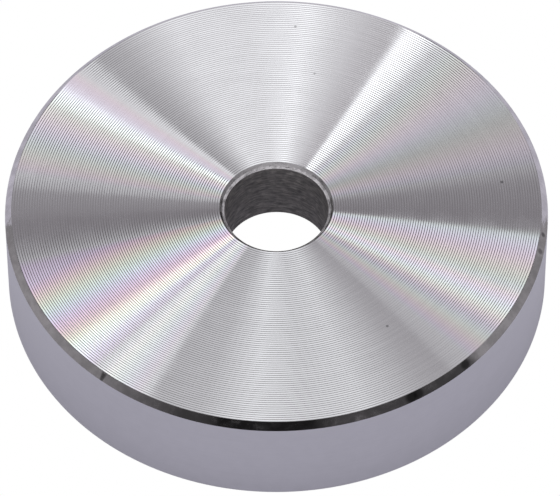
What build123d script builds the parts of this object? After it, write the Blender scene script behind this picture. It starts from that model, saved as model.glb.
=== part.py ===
from build123d import *
import os

# Centre adapter for small records: one solid disc of turned aluminium. It fills the
# large centre hole of the record and drops over the spindle of the turntable.
# Millimetres, +Z up. The origin is on the axis of the disc, at its bottom face.

DISC_DIAMETER = 38.0  # slips into a record's 38.1 mm centre hole
DISC_THICKNESS = 8.0
BORE_DIAMETER = 7.3  # slips over a 7.1 mm to 7.2 mm spindle
RECESS_DIAMETER = 20.0  # hollow under the disc, which clears the collar of the spindle
RECESS_DEPTH = 2.5

RIM_CHAMFER = 0.45  # outer edge of the top face, which guides the record on
RIM_ROUND = 0.5  # outer edge of the foot
BORE_TOP_CHAMFER = 0.35
BORE_LOWER_CHAMFER = 0.15
RECESS_MOUTH_CHAMFER = 0.2
RECESS_CORNER_ROUND = 0.2  # left by the nose of the boring tool

HEIGHT_TOLERANCE = 0.01


def circles_at(part, height):
    """The circular edges of a part at one height, from the smallest to the largest."""
    circles = part.edges().filter_by(GeomType.CIRCLE)
    level = circles.filter_by_position(Axis.Z, height - HEIGHT_TOLERANCE, height + HEIGHT_TOLERANCE)
    return level.sort_by(SortBy.RADIUS)


with BuildPart() as adapter_disc:
    # The blank, turned to its diameter and faced to its thickness.
    with BuildSketch(Plane.XY):
        Circle(DISC_DIAMETER / 2)
    extrude(amount=DISC_THICKNESS)

    # The spindle bore, with the wide recess counterbored from the underside.
    with Locations(adapter_disc.faces().sort_by(Axis.Z)[0]):
        CounterBoreHole(
            radius=BORE_DIAMETER / 2,
            counter_bore_radius=RECESS_DIAMETER / 2,
            counter_bore_depth=RECESS_DEPTH,
        )

    # Top face: a bevel round the rim and a smaller one round the bore.
    chamfer(circles_at(adapter_disc, DISC_THICKNESS)[-1], length=RIM_CHAMFER)
    chamfer(circles_at(adapter_disc, DISC_THICKNESS)[0], length=BORE_TOP_CHAMFER)

    # Foot: a rounded outer edge, and a broken edge at the mouth of the recess.
    fillet(circles_at(adapter_disc, 0)[-1], radius=RIM_ROUND)
    chamfer(circles_at(adapter_disc, 0)[0], length=RECESS_MOUTH_CHAMFER)

    # Recess floor: the lower edge of the bore, and the corner where floor meets wall.
    chamfer(circles_at(adapter_disc, RECESS_DEPTH)[0], length=BORE_LOWER_CHAMFER)
    fillet(circles_at(adapter_disc, RECESS_DEPTH)[-1], radius=RECESS_CORNER_ROUND)

adapter_disc.part.label = "adapter_disc"

os.makedirs("parts", exist_ok=True)
export_step(adapter_disc.part, "parts/adapter_disc.step")
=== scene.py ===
import math

import bpy
from mathutils import Matrix, Vector


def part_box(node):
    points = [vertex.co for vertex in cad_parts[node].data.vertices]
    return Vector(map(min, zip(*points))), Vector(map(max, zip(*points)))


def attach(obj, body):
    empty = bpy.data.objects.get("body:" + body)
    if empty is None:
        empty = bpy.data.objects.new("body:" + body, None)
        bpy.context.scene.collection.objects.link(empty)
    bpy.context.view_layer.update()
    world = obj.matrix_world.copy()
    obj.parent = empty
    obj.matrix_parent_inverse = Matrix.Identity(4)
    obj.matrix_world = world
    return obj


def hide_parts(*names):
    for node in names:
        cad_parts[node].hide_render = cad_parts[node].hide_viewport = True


# The looks of a turned aluminium centre adapter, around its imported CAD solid.
# Lengths below are in millimetres, in the frame of the CAD: the origin is on the axis at the
# plane of the foot, and +Z is up. MM turns them into metres. Angles are in degrees.

MM = 0.001

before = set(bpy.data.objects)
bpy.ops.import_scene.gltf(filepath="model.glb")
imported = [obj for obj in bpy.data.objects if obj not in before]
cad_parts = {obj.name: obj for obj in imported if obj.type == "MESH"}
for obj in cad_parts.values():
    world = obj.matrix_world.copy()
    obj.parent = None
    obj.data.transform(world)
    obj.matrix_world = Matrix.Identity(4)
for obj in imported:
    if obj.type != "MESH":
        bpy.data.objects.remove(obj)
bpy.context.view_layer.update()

_, disc_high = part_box("adapter_disc")
DISC_RADIUS = disc_high.x / MM
DISC_TOP = disc_high.z / MM

# The edges of the turned profile, as in the CAD.
BORE_RADIUS = 3.65
RECESS_RADIUS = 10.0
RECESS_DEPTH = 2.5
RIM_CHAMFER = 0.45
RIM_ROUND = 0.5
BORE_TOP_CHAMFER = 0.35
BORE_LOWER_CHAMFER = 0.15
RECESS_MOUTH_CHAMFER = 0.2
RECESS_CORNER_ROUND = 0.2

# The bore's bevel is slightly hollow: steep next to the face, and flatter next to the bore.
BEVEL_HOLLOW_WIDTH = 0.175  # from the bore to the bend
BEVEL_HOLLOW_DROP = 0.235  # from the face down to the bend

# The tool marks.
FACE_FEED = 0.1767  # from one groove of the top face to the next
FACE_GROOVE_DEPTH = 0.012
UNDERSIDE_FEED = 0.3
UNDERSIDE_GROOVE_DEPTH = 0.012
# The points of one groove: share of the feed, share of the depth, sharp.
GROOVE_SHAPE = ((0.0, 0.0, True), (0.38, 0.62, False), (0.7, 1.0, True))

SECTORS = 192  # facets round the disc


# ---------------------------------------------------------------- mesh

def feed_marks(start, end, feed, depth, height, into):
    """Profile points of tool grooves across a flat face, from one radius to another.

    The side of the tool leaves the long flank of each groove, and its nose the short steep
    one. `into` is -1 where the metal is below the face and +1 where it is above.
    """
    count = round(abs(end - start) / feed)
    step = (end - start) / count
    points = []
    for groove in range(count):
        for along, drop, sharp in GROOVE_SHAPE:
            radius = start + (groove + along) * step
            points.append((radius, height + into * drop * depth, sharp))
    return points


def arc_points(centre, radius, first, last, steps):
    """Profile points of a round, without its two end points."""
    points = []
    for step in range(1, steps):
        angle = math.radians(first + (last - first) * step / steps)
        across, up = radius * math.cos(angle), radius * math.sin(angle)
        points.append((centre[0] + across, centre[1] + up, False))
    return points


def straight_points(start, end, steps):
    """Profile points that divide a straight stretch, with its first point but not its last."""
    points = []
    for step in range(steps):
        share = step / steps
        radius = start[0] + (end[0] - start[0]) * share
        height = start[1] + (end[1] - start[1]) * share
        points.append((radius, height, step == 0))
    return points


def disc_profile():
    """The half section as (surface, points), in order round the metal.

    A point is (radius, height, sharp).
    """
    face_inner = (BORE_RADIUS + BORE_TOP_CHAMFER, DISC_TOP)
    face_outer = (DISC_RADIUS - RIM_CHAMFER, DISC_TOP)
    wall_top = (DISC_RADIUS, DISC_TOP - RIM_CHAMFER)
    wall_foot = (DISC_RADIUS, RIM_ROUND)
    foot_outer = (DISC_RADIUS - RIM_ROUND, 0.0)
    foot_inner = (RECESS_RADIUS + RECESS_MOUTH_CHAMFER, 0.0)
    recess_mouth = (RECESS_RADIUS, RECESS_MOUTH_CHAMFER)
    recess_top = (RECESS_RADIUS, RECESS_DEPTH - RECESS_CORNER_ROUND)
    floor_outer = (RECESS_RADIUS - RECESS_CORNER_ROUND, RECESS_DEPTH)
    floor_inner = (BORE_RADIUS + BORE_LOWER_CHAMFER, RECESS_DEPTH)
    bore_low = (BORE_RADIUS, RECESS_DEPTH + BORE_LOWER_CHAMFER)
    bore_high = (BORE_RADIUS, DISC_TOP - BORE_TOP_CHAMFER)
    bevel_bend = (BORE_RADIUS + BEVEL_HOLLOW_WIDTH, DISC_TOP - BEVEL_HOLLOW_DROP)
    foot_round = arc_points((foot_outer[0], RIM_ROUND), RIM_ROUND, 0, -90, steps=6)
    corner_round = arc_points((floor_outer[0], recess_top[1]), RECESS_CORNER_ROUND, 0, 90, steps=4)
    return [
        ("bevel", straight_points(bore_high, bevel_bend, steps=2)),
        ("bevel", straight_points(bevel_bend, face_inner, steps=2)),
        ("face", feed_marks(face_inner[0], face_outer[0], FACE_FEED, FACE_GROOVE_DEPTH,
                            DISC_TOP, into=-1)),
        ("rim_bevel", straight_points(face_outer, wall_top, steps=2)),
        ("wall", straight_points(wall_top, wall_foot, steps=8)),
        ("wall", [(*wall_foot, False)] + foot_round),
        ("foot", feed_marks(foot_outer[0], foot_inner[0], UNDERSIDE_FEED, UNDERSIDE_GROOVE_DEPTH,
                            0.0, into=1)),
        ("bevel", straight_points(foot_inner, recess_mouth, steps=2)),
        ("foot", straight_points(recess_mouth, recess_top, steps=4)),
        ("foot", [(*recess_top, False)] + corner_round),
        ("foot", feed_marks(floor_outer[0], floor_inner[0], UNDERSIDE_FEED,
                            UNDERSIDE_GROOVE_DEPTH, RECESS_DEPTH, into=1)),
        ("bevel", straight_points(floor_inner, bore_low, steps=2)),
        ("bore", straight_points(bore_low, bore_high, steps=40)),
    ]


def turned_mesh(name, profile, surfaces):
    """A closed mesh of revolution. Its faces carry the index of their surface's material."""
    rings = []
    for surface, points in profile:
        for radius, height, sharp in points:
            rings.append((radius, height, sharp, surfaces.index(surface)))
    vertices = []
    for radius, height, _, _ in rings:
        for sector in range(SECTORS):
            angle = 2 * math.pi * sector / SECTORS
            x, y = radius * math.cos(angle), radius * math.sin(angle)
            vertices.append((x * MM, y * MM, height * MM))
    faces = []
    indices = []
    for ring, (_, _, _, surface) in enumerate(rings):
        start = ring * SECTORS
        after = ((ring + 1) % len(rings)) * SECTORS
        for sector in range(SECTORS):
            following = (sector + 1) % SECTORS
            faces.append((start + sector, after + sector, after + following, start + following))
            indices.append(surface)
    mesh = bpy.data.meshes.new(name)
    mesh.from_pydata(vertices, [], faces)
    mesh.polygons.foreach_set("use_smooth", [True] * len(faces))
    mesh.polygons.foreach_set("material_index", indices)
    sharp_rings = {ring for ring, values in enumerate(rings) if values[2]}
    for edge in mesh.edges:
        first, second = (index // SECTORS for index in edge.vertices)
        edge.use_edge_sharp = first == second and first in sharp_rings
    mesh.update()
    return mesh


# ---------------------------------------------------------------- shader helpers

def node(tree, kind, **settings):
    """A new node with its settings."""
    made = tree.nodes.new(kind)
    for setting, value in settings.items():
        setattr(made, setting, value)
    return made


def fill(tree, socket, value):
    """Links a socket to another, or sets its value."""
    if isinstance(value, bpy.types.NodeSocket):
        tree.links.new(value, socket)
    elif value is not None:
        socket.default_value = value


def calc(tree, operation, first, second=None, third=None):
    """A Math node's result."""
    made = node(tree, "ShaderNodeMath", operation=operation)
    for socket, value in zip(made.inputs, (first, second, third)):
        fill(tree, socket, value)
    return made.outputs[0]


def times(tree, *factors):
    """The product of numbers and number sockets."""
    product = factors[0]
    for factor in factors[1:]:
        product = calc(tree, "MULTIPLY", product, factor)
    return product


def coloured(tree, first, second):
    """The product of two colours, where a number's socket counts as a grey."""
    product = node(tree, "ShaderNodeVectorMath", operation="MULTIPLY")
    fill(tree, product.inputs[0], first)
    fill(tree, product.inputs[1], second)
    return product.outputs[0]


def ease(tree, value, low, high, low_result=0.0, high_result=1.0):
    """A smooth step of value, from low_result at low to high_result at high."""
    made = node(tree, "ShaderNodeMapRange", interpolation_type="SMOOTHSTEP")
    for name, number in (("Value", value), ("From Min", low), ("From Max", high),
                         ("To Min", low_result), ("To Max", high_result)):
        fill(tree, made.inputs[name], number)
    return made.outputs["Result"]


def vary(tree, noise, least, most, within=(0.3, 0.7)):
    """A value that rises from least to most while the noise rises through a range."""
    return ease(tree, noise, *within, least, most)


class Place:
    """Where a point of the disc is, as sockets: radius and height in mm, azimuth in radians."""

    def __init__(self, tree):
        self.tree = tree
        scaled = node(tree, "ShaderNodeVectorMath", operation="SCALE")
        tree.links.new(node(tree, "ShaderNodeTexCoord").outputs["Object"], scaled.inputs[0])
        scaled.inputs["Scale"].default_value = 1 / MM
        self.point = scaled.outputs[0]
        parts = node(tree, "ShaderNodeSeparateXYZ")
        tree.links.new(self.point, parts.inputs[0])
        x, y, self.height = parts.outputs
        self.azimuth = calc(tree, "ARCTAN2", y, x)
        self.radius = calc(tree, "SQRT", calc(tree, "ADD", times(tree, x, x), times(tree, y, y)))
        self.cosine = calc(tree, "DIVIDE", x, self.radius)
        self.sine = calc(tree, "DIVIDE", y, self.radius)

    def noise(self, around, across, per_mm, detail=2.0, roughness=0.5):
        """Noise that is drawn out round the disc. It has about `around` patches to a radian,
        and `per_mm` of them to a millimetre of `across`, a socket."""
        tree = self.tree
        vector = node(tree, "ShaderNodeCombineXYZ")
        fill(tree, vector.inputs[0], times(tree, self.cosine, around))
        fill(tree, vector.inputs[1], times(tree, self.sine, around))
        fill(tree, vector.inputs[2], times(tree, across, per_mm))
        made = node(tree, "ShaderNodeTexNoise")
        tree.links.new(vector.outputs[0], made.inputs["Vector"])
        made.inputs["Scale"].default_value = 1.0
        made.inputs["Detail"].default_value = detail
        made.inputs["Roughness"].default_value = roughness
        return made.outputs["Fac"]

    def grain(self, per_mm, detail=2.0):
        """Noise that is the same in all directions, with `per_mm` patches to a millimetre."""
        made = node(self.tree, "ShaderNodeTexNoise")
        self.tree.links.new(self.point, made.inputs["Vector"])
        made.inputs["Scale"].default_value = per_mm
        made.inputs["Detail"].default_value = detail
        return made.outputs["Fac"]

    def marks(self, places):
        """1 on sound metal, falling inside each mark (radius, azimuth, height, size, depth)."""
        tree = self.tree
        sound = 1.0
        for radius, azimuth, height, size, depth in places:
            turn = math.radians(azimuth)
            away = node(tree, "ShaderNodeVectorMath", operation="DISTANCE")
            tree.links.new(self.point, away.inputs[0])
            centre = (radius * math.cos(turn), radius * math.sin(turn), height)
            away.inputs[1].default_value = centre
            core = size * MARK_CORE
            sound = times(tree, sound, ease(tree, away.outputs["Value"], core, size, 1 - depth))
        return sound


# ---------------------------------------------------------------- materials

FACE_COLOUR = (0.80, 0.79, 0.80)
BORE_BEVEL_COLOUR = (0.93, 0.92, 0.93)
RIM_BEVEL_COLOUR = (0.80, 0.78, 0.79)
WALL_COLOUR = (0.64, 0.64, 0.67)
UNDERSIDE_COLOUR = (0.76, 0.75, 0.77)
BORE_COLOUR = (0.68, 0.66, 0.63)

# The upper part of the bore's bevel is duller and darker. Its edge lies between these heights.
DULL_POLISH_EDGE = (DISC_TOP - 0.28, DISC_TOP - 0.2)
DULL_SHADE_EDGE = (DISC_TOP - 0.26, DISC_TOP - 0.18)

# The feed marks split light like a grating. Its colours are painted into seven sectors of the face
# as a painted sheen, fixed to the object. A tint runs from one azimuth to another. Its colours
# repeat after `period` degrees at the axis and `narrowing` degrees fewer at the rim, and `hue` is
# the colour at `centre`. Further back than `first_turn` repeats from the centre, the colour stays
# the same.
PAINTED_SHEEN_TINTS = (
    {"from": 194, "to": 224, "centre": 214.3, "hue": 299, "period": 28.5, "narrowing": 17.5,
     "strength": 0.095, "first_turn": -1.1},
    {"from": 222, "to": 229, "centre": 226, "hue": 252, "period": 30, "narrowing": 0,
     "strength": 0.06},
    {"from": 229, "to": 241, "centre": 231, "hue": 60, "period": 12, "narrowing": 0,
     "strength": 0.03},
    {"from": 335, "to": 354, "centre": 350, "hue": 204, "period": -18, "narrowing": -3,
     "strength": 0.06},
    {"from": 314, "to": 337, "centre": 320, "hue": 60, "period": 8, "narrowing": 0,
     "strength": 0.045},
    {"from": 10, "to": 50, "centre": 16, "hue": 299, "period": 16, "narrowing": -5,
     "strength": 0.036},
    {"from": 138, "to": 171, "centre": 170, "hue": 296, "period": -14, "narrowing": 0,
     "strength": 0.045},
)
PAINTED_SHEEN_EDGE = 3.0  # degrees over which a tint starts and ends
PAINTED_SHEEN_BIAS = 0.4  # cyan is the weakest of the colours
PAINTED_SHEEN_BIAS_HUE = 340
PRIMARY_HUES = (0, 120, 240)

# Dark marks: pits in the metal of the face, and on the rim's bevel a nick and spots. Each is
# radius, azimuth, height, size, depth.
FACE_PITS = (
    (15.96, 7.5, DISC_TOP, 0.16, 0.55),
    (12.92, 306.0, DISC_TOP, 0.14, 0.5),
    (16.34, 85.0, DISC_TOP, 0.14, 0.45),
    (12.26, 77.0, DISC_TOP, 0.12, 0.4),
)
# The first four make one nick across the rim's bevel. The other five are dark spots on the bevel.
RIM_DARK_SPOTS = (
    (18.62, 230.4, 7.93, 0.28, 0.45),
    (18.74, 230.4, 7.81, 0.25, 0.5),
    (18.86, 230.4, 7.69, 0.22, 0.5),
    (18.98, 230.4, 7.57, 0.18, 0.4),
    (18.75, 299.3, 7.80, 0.6, 0.7),
    (18.75, 301.0, 7.80, 0.5, 0.6),
    (18.75, 313.5, 7.80, 0.5, 0.65),
    (18.75, 348.0, 7.80, 0.3, 0.5),
    (18.75, 352.5, 7.80, 0.25, 0.6),
)
MARK_CORE = 0.4  # share of a mark's size that is fully dark


def metal(name, anisotropy=0.0):
    """A bare metal material, its nodes, its shader and the place of each point."""
    material = bpy.data.materials.new(name)
    material.use_nodes = True
    tree = material.node_tree
    shader = tree.nodes["Principled BSDF"]
    shader.inputs["Metallic"].default_value = 1.0
    if anisotropy:
        shader.inputs["Anisotropic"].default_value = anisotropy
        shader.inputs["Anisotropic Rotation"].default_value = 0.25  # a quarter turn
        tangent = node(tree, "ShaderNodeTangent", direction_type="RADIAL", axis="Z")
        tree.links.new(tangent.outputs[0], shader.inputs["Tangent"])
    return material, tree, shader, Place(tree)


def coat(tree, shader, colour, shade, roughness):
    """Gives the metal its colour, darker where shade is below 1, and its roughness."""
    tree.links.new(coloured(tree, shade, colour), shader.inputs["Base Color"])
    tree.links.new(roughness, shader.inputs["Roughness"])


def bump(tree, shader, height, depth):
    """Raises the surface by depth mm where height is 1."""
    made = node(tree, "ShaderNodeBump")
    made.inputs["Distance"].default_value = depth * MM
    tree.links.new(height, made.inputs["Height"])
    tree.links.new(made.outputs[0], shader.inputs["Normal"])


def painted_grating_sheen(tree, place):
    """The painted sheen: the colours that the feed marks split from light, painted on the face in
    fixed sectors, as factors near 1.
    """
    azimuth = calc(tree, "ADD", calc(tree, "DEGREES", place.azimuth), 360)
    azimuth = calc(tree, "MODULO", azimuth, 360)
    share = calc(tree, "DIVIDE", place.radius, DISC_RADIUS)
    channels = [1.0, 1.0, 1.0]
    for tint in PAINTED_SHEEN_TINTS:
        start, end = tint["from"], tint["to"]
        rise = ease(tree, azimuth, start, start + PAINTED_SHEEN_EDGE, 0.0, tint["strength"])
        fall = ease(tree, azimuth, end - PAINTED_SHEEN_EDGE, end, 1.0, 0.0)
        strength = times(tree, rise, fall)
        period = calc(tree, "MULTIPLY_ADD", share, -tint["narrowing"], tint["period"])
        turns = calc(tree, "DIVIDE", calc(tree, "SUBTRACT", azimuth, tint["centre"]), period)
        if "first_turn" in tint:
            turns = calc(tree, "MAXIMUM", turns, tint["first_turn"])
        for index, primary in enumerate(PRIMARY_HUES):
            lead = math.radians(tint["hue"] - primary)
            angle = calc(tree, "MULTIPLY_ADD", turns, 2 * math.pi, lead)
            bias = PAINTED_SHEEN_BIAS * math.cos(math.radians(PAINTED_SHEEN_BIAS_HUE - primary))
            colour = calc(tree, "ADD", calc(tree, "COSINE", angle), bias)
            channels[index] = calc(tree, "MULTIPLY_ADD", colour, strength, channels[index])
    colour = node(tree, "ShaderNodeCombineXYZ")
    for socket, channel in zip(colour.inputs, channels):
        fill(tree, socket, channel)
    return colour.outputs[0]


def turned_face():
    """The top face: bright and anisotropic, with faint streaks, pits and a painted sheen of the
    grating's colours.
    """
    material, tree, shader, place = metal("turned_face", anisotropy=1.0)
    streaks = place.noise(around=3.0, across=place.radius, per_mm=9.0, detail=3.0, roughness=0.6)
    shade = times(tree, vary(tree, streaks, least=0.96, most=1.03), place.marks(FACE_PITS))
    # painted sheen: the grating's colours, fixed to seven sectors of the face
    tone_with_painted_sheen = coloured(tree, shade, painted_grating_sheen(tree, place))
    rough = vary(tree, place.grain(per_mm=0.6), least=0.065, most=0.085, within=(0.35, 0.65))
    coat(tree, shader, FACE_COLOUR, tone_with_painted_sheen, rough)
    return material


def burnished_bevel():
    """The bore's bevel and the broken edges: patchy, as a hand tool leaves it."""
    material, tree, shader, place = metal("burnished_bevel")
    patches = place.noise(around=5.0, across=place.height, per_mm=4.0, detail=3.0, roughness=0.7)
    shade = times(tree, vary(tree, patches, least=0.55, most=1.0, within=(0.4, 0.6)),
                  ease(tree, place.height, *DULL_SHADE_EDGE, 1.0, 0.75))
    rough = times(tree, vary(tree, patches, least=0.6, most=1.3, within=(0.35, 0.65)),
                  ease(tree, place.height, *DULL_POLISH_EDGE, 0.22, 0.42))
    coat(tree, shader, BORE_BEVEL_COLOUR, shade, rough)
    waves = place.noise(around=6.0, across=place.height, per_mm=8.0)
    bump(tree, shader, waves, depth=0.02)
    return material


def rim_bevel():
    """The rim's bevel: polished, with the tool's chatter, a nick and a few dark spots."""
    material, tree, shader, place = metal("rim_bevel")
    chatter = place.noise(around=20.0, across=place.height, per_mm=1.5, detail=3.0, roughness=0.6)
    shade = times(tree, vary(tree, chatter, least=0.8, most=1.05), place.marks(RIM_DARK_SPOTS))
    rough = vary(tree, chatter, least=0.04, most=0.12, within=(0.4, 0.75))
    coat(tree, shader, RIM_BEVEL_COLOUR, shade, rough)
    waves = place.noise(around=14.0, across=place.height, per_mm=2.0)
    bump(tree, shader, waves, depth=0.008)
    return material


def satin_wall():
    """The side wall and the round of the foot: satin and nearly even."""
    material, tree, shader, place = metal("satin_wall")
    mottle = place.grain(per_mm=1.1, detail=4.0)
    lathe = place.noise(around=2.0, across=place.height, per_mm=9.0)
    shade = times(tree, vary(tree, mottle, least=0.985, most=1.012),
                  vary(tree, lathe, least=0.99, most=1.01))
    rough = vary(tree, mottle, least=0.28, most=0.32)
    coat(tree, shader, WALL_COLOUR, shade, rough)
    return material


def underside():
    """The foot and the recess: coarser turning than the top face."""
    material, tree, shader, place = metal("turned_underside", anisotropy=0.8)
    streaks = place.noise(around=4.0, across=place.radius, per_mm=5.0, detail=3.0, roughness=0.6)
    shade = vary(tree, streaks, least=0.88, most=1.03)
    rough = vary(tree, place.grain(per_mm=0.8), least=0.2, most=0.32)
    coat(tree, shader, UNDERSIDE_COLOUR, shade, rough)
    return material


def bored_wall():
    """The wall of the bore: rough, with scratches round it."""
    material, tree, shader, place = metal("bored_wall")
    scratches = place.noise(around=5.0, across=place.height, per_mm=7.0, detail=4.0,
                            roughness=0.65)
    mottle = place.grain(per_mm=2.2, detail=3.0)
    shade = times(tree, vary(tree, scratches, least=0.5, most=1.1),
                  vary(tree, mottle, least=0.75, most=1.05, within=(0.35, 0.65)))
    rough = vary(tree, mottle, least=0.42, most=0.6)
    coat(tree, shader, BORE_COLOUR, shade, rough)
    bump(tree, shader, scratches, depth=0.03)
    return material


SURFACES = {
    "face": turned_face,
    "bevel": burnished_bevel,
    "rim_bevel": rim_bevel,
    "wall": satin_wall,
    "foot": underside,
    "bore": bored_wall,
}

mesh = turned_mesh("turned_disc", disc_profile(), list(SURFACES))
for make in SURFACES.values():
    mesh.materials.append(make())
turned_disc = bpy.data.objects.new("turned_disc", mesh)
bpy.context.scene.collection.objects.link(turned_disc)
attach(turned_disc, "root")
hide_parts("adapter_disc")


# ---------------------------------------------------------------- camera

CAMERA_ELEVATION = 52.3
CAMERA_DISTANCE = 440.0  # from the middle of the top face
CAMERA_ROLL = -0.275
CAMERA_AIM = Vector((0.235, 0.0, 3.23))  # near the middle of the disc
LENS = 404.4
SENSOR_WIDTH = 36.0
CLIP_START = 10.0
CLIP_END = 10000.0

elevation = math.radians(CAMERA_ELEVATION)
toward_camera = Vector((0.0, -math.cos(elevation), math.sin(elevation)))
camera_place = Vector((0.0, 0.0, DISC_TOP)) + toward_camera * CAMERA_DISTANCE
view_line = (CAMERA_AIM - camera_place).normalized()

camera_data = bpy.data.cameras.new("camera")
camera_data.lens = LENS
camera_data.sensor_width = SENSOR_WIDTH
camera_data.clip_start = CLIP_START * MM
camera_data.clip_end = CLIP_END * MM
camera = bpy.data.objects.new("camera", camera_data)
level = view_line.to_track_quat("-Z", "Y").to_matrix().to_4x4()
camera.matrix_world = (Matrix.Translation(camera_place * MM) @ level
                       @ Matrix.Rotation(math.radians(CAMERA_ROLL), 4, "Z"))
bpy.context.scene.collection.objects.link(camera)
bpy.context.scene.camera = camera


# ---------------------------------------------------------------- studio

LIGHT_COLOUR = (1.0, 0.97, 1.01)
PANEL_COLOUR = (0.955, 1.0, 1.01)
HAZE_COLOUR = (0.026, 0.0, 0.018)  # added to the panels and gaps

# The panels of light stand in a ring round the direction that the flat face mirrors towards
# the camera. A panel is a run of (bearing, brightness), where the bearing is counted round
# that direction, from the right towards the top. The gaps between them are dim.
PANELS = {
    "lower_left": (
        (-169.4, 0.36), (-168.9, 0.56), (-157, 0.78), (-149, 0.98), (-142, 1.1), (-140.5, 1.7),
        (-138, 1.7), (-136, 0.8), (-131, 0.75), (-129, 1.0), (-127.5, 1.0),
    ),
    "below": (
        (-127, 0.5), (-121, 0.58), (-109, 1.1), (-95, 1.08), (-84, 1.35), (-72, 0.6),
        (-65.7, 0.38),
    ),
    "lower_right": (
        (-65.2, 2.0), (-62, 2.0), (-60, 1.6), (-58, 1.05), (-47, 0.8), (-33, 0.47),
        (-23, 0.62), (-17, 0.48), (-12, 0.31),
    ),
    "upper_right": (
        (5.1, 0.3), (5.6, 0.95), (14, 0.9), (21, 0.9), (27, 1.15), (32, 1.15), (36, 0.8),
        (42, 0.62), (51, 0.52),
    ),
    "above": (
        (52, 0.38), (58, 0.45), (73, 0.95), (84, 0.88), (95, 1.06), (106, 0.68),
        (116.5, 0.6),
    ),
    "upper_left": (
        (117, 0.95), (122, 1.1), (127, 1.35), (131, 0.95), (135, 1.45), (138, 1.6),
        (142, 0.98), (150, 1.1), (160, 0.8), (167.5, 0.54),
    ),
}
GAPS = ((-180, 0.26), (0, 0.24), (168, 0.46), (174, 0.27), (180, 0.24))
PANELS_EDGE = (16, 17.5)  # degrees from the mirrored direction

# The ring round the panels, as (bearing, brightness). The steep flanks of the feed marks
# mirror it, so where it is dark the marks stand out.
RING = (
    (-180, 0.2), (-168, 0.2), (-155, 0.03), (-131, 0.03), (-128, 0.43), (-114, 0.42),
    (-104, 0.2), (-70, 0.18), (-60, 0.03), (-25, 0.03), (-9, 0.26), (9, 0.26), (18, 0.06),
    (35, 0.1), (37, 0.8), (44, 0.8), (46, 0.2), (66, 0.55), (104, 0.6), (111, 0.75),
    (118, 0.75), (122, 0.1), (134, 0.1), (144, 0.44), (158, 0.36), (168, 0.24), (180, 0.22),
)
RING_EDGE = (32, 42)  # degrees from the mirrored direction

# The rest of the room is in three layers, from the horizon up. Each of the lower two is a run
# of (azimuth, brightness). The rim's bevel mirrors the middle one towards the camera.
HORIZON = (
    (-180, 0.3), (-160, 0.35), (-135, 0.75), (-100, 1.0), (-88, 0.6), (-70, 0.9),
    (-45, 0.75), (-25, 0.35), (0, 0.3), (180, 0.3),
)
SURROUNDINGS = (
    (-180, 0.30), (-164, 0.26), (-150, 0.19), (-141, 0.12), (-125, 0.055), (-116, 0.045),
    (-111, 0.012), (-78, 0.012), (-67, 0.07), (-44, 0.06), (-22, 0.06), (-16, 0.1),
    (-13, 0.29), (4, 0.28), (16, 0.24), (40, 0.3), (140, 0.27), (148, 0.19), (160, 0.3),
    (180, 0.3),
)
OVERHEAD_BRIGHTNESS = 0.7
# Where one layer gives way to the next, as a height on a sphere of radius 1. LAYER_TILT raises
# the edges on the camera's side and lowers them behind the object.
SURROUNDINGS_EDGE = (0.17, 0.27)
OVERHEAD_EDGE = (0.55, 0.72)
LAYER_TILT = 0.36

FLOOR_HALF_WIDTH = 3000.0
FLOOR_COLOUR = (0.5, 0.49, 0.52, 1)
# The floor glows as painted light on the object, and less under the object and close to it, as a
# painted shadow.
GLOW_COLOUR = (0.90, 0.885, 1.02, 1)
PAINTED_SHADOW_RADII = (12, 23)
GLOW_STRENGTHS = (0.08, 0.33)


def light(brightness, hazy=False):
    """The colour of a light. A hazy one has a little pink in it, which shows where it is dim."""
    if not hazy:
        return (*(share * brightness for share in LIGHT_COLOUR), 1)
    return (*(share * brightness + pink for share, pink in zip(PANEL_COLOUR, HAZE_COLOUR)), 1)


def light_ramp(tree, turn, first, span, stops, hazy=False):
    """The light over part of a turn, which starts at the angle first and is span wide."""
    ramp = node(tree, "ShaderNodeValToRGB")
    elements = ramp.color_ramp.elements
    elements.remove(elements[-1])
    for index, (angle, brightness) in enumerate(stops):
        share = (angle - first) / span
        element = elements[0] if index == 0 else elements.new(share)
        element.position = share
        element.color = light(brightness, hazy)
    start = calc(tree, "SUBTRACT", turn, math.radians(first))
    tree.links.new(calc(tree, "DIVIDE", start, math.radians(span)), ramp.inputs[0])
    return ramp.outputs["Color"]


def blend(tree, factor, first, second):
    """A colour between first, where factor is 0, and second, where it is 1."""
    mix = node(tree, "ShaderNodeMixRGB")
    for name, value in (("Fac", factor), ("Color1", first), ("Color2", second)):
        fill(tree, mix.inputs[name], value)
    return mix.outputs["Color"]


def white_to_camera(tree, seen, lit):
    """Mixes what the camera sees directly with what lights the object."""
    path = node(tree, "ShaderNodeLightPath")
    mix = node(tree, "ShaderNodeMixShader")
    tree.links.new(path.outputs["Is Camera Ray"], mix.inputs[0])
    tree.links.new(lit, mix.inputs[1])
    tree.links.new(seen, mix.inputs[2])
    return mix.outputs[0]


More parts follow.
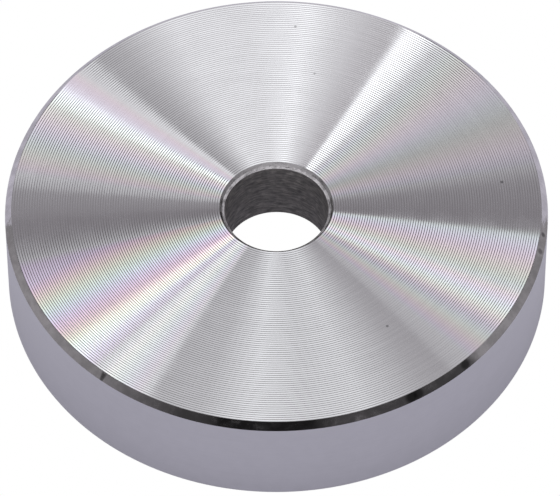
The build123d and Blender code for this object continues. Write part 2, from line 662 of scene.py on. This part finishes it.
def studio_world():
    """The room's light. The camera sees plain white."""
    world = bpy.data.worlds.new("studio")
    world.use_nodes = True
    tree = world.node_tree
    tree.nodes.clear()
    direction = node(tree, "ShaderNodeTexCoord").outputs["Generated"]

    def along(axis):
        """How far a direction points along an axis."""
        product = node(tree, "ShaderNodeVectorMath", operation="DOT_PRODUCT")
        tree.links.new(direction, product.inputs[0])
        product.inputs[1].default_value = axis
        return product.outputs["Value"]

    right = Vector((1.0, 0.0, 0.0))
    rightward = along(right)
    backward = along(Vector((0.0, 1.0, 0.0)))
    height = along(Vector((0.0, 0.0, 1.0)))

    azimuth = calc(tree, "ARCTAN2", backward, rightward)
    horizon = light_ramp(tree, azimuth, -180, 360, HORIZON)
    surroundings = light_ramp(tree, azimuth, -180, 360, SURROUNDINGS)
    rise = calc(tree, "MULTIPLY_ADD", backward, LAYER_TILT, height)
    shown = blend(tree, ease(tree, rise, *SURROUNDINGS_EDGE), horizon, surroundings)
    shown = blend(tree, ease(tree, rise, *OVERHEAD_EDGE), shown, light(OVERHEAD_BRIGHTNESS))

    mirror = Vector((0.0, math.cos(elevation), math.sin(elevation)))
    bearing = calc(tree, "ARCTAN2", along(right.cross(mirror)), rightward)
    ring = light_ramp(tree, bearing, -180, 360, RING)
    stops = sorted([stop for panel in PANELS.values() for stop in panel] + list(GAPS))
    halves = []  # one ramp can't hold all the stops
    for first in (-180, 0):
        within = [stop for stop in stops if first <= stop[0] <= first + 180]
        halves.append(light_ramp(tree, bearing, first, 180, within, hazy=True))
    panels = blend(tree, calc(tree, "GREATER_THAN", bearing, 0.0), *halves)
    for layer, (inner, outer) in ((ring, RING_EDGE), (panels, PANELS_EDGE)):
        window = ease(tree, along(mirror), math.cos(math.radians(outer)),
                      math.cos(math.radians(inner)))
        shown = blend(tree, window, shown, layer)

    lit = node(tree, "ShaderNodeBackground")
    tree.links.new(shown, lit.inputs["Color"])
    seen = node(tree, "ShaderNodeBackground")
    seen.inputs["Color"].default_value = (1, 1, 1, 1)
    output = node(tree, "ShaderNodeOutputWorld")
    mixed = white_to_camera(tree, seen.outputs[0], lit.outputs[0])
    tree.links.new(mixed, output.inputs["Surface"])
    bpy.context.scene.world = world


def studio_floor():
    """A plain floor that the camera sees as white, like the background. To the object it glows as
    painted light, with a painted shadow under and round the object.
    """
    size = FLOOR_HALF_WIDTH * MM
    corners = [(-size, -size, 0), (size, -size, 0), (size, size, 0), (-size, size, 0)]
    mesh = bpy.data.meshes.new("floor")
    mesh.from_pydata(corners, [], [(0, 1, 2, 3)])
    floor = bpy.data.objects.new("floor", mesh)
    bpy.context.scene.collection.objects.link(floor)
    material = bpy.data.materials.new("white_floor")
    material.use_nodes = True
    tree = material.node_tree
    tree.nodes.clear()
    paper = node(tree, "ShaderNodeBsdfDiffuse")
    paper.inputs["Color"].default_value = FLOOR_COLOUR
    away = node(tree, "ShaderNodeVectorMath", operation="LENGTH")
    tree.links.new(node(tree, "ShaderNodeTexCoord").outputs["Object"], away.inputs[0])
    inner, outer = (radius * MM for radius in PAINTED_SHADOW_RADII)
    glow = node(tree, "ShaderNodeEmission")
    glow.inputs["Color"].default_value = GLOW_COLOUR
    # painted shadow: the floor's glow is weaker under the object and close to it
    glow_in_painted_shadow = ease(tree, away.outputs["Value"], inner, outer, *GLOW_STRENGTHS)
    tree.links.new(glow_in_painted_shadow, glow.inputs["Strength"])
    both = node(tree, "ShaderNodeAddShader")
    tree.links.new(paper.outputs[0], both.inputs[0])
    tree.links.new(glow.outputs[0], both.inputs[1])
    seen = node(tree, "ShaderNodeEmission")
    output = node(tree, "ShaderNodeOutputMaterial")
    mixed = white_to_camera(tree, seen.outputs[0], both.outputs[0])
    tree.links.new(mixed, output.inputs["Surface"])
    mesh.materials.append(material)


studio_world()
studio_floor()
bpy.context.scene.view_settings.view_transform = "Standard"
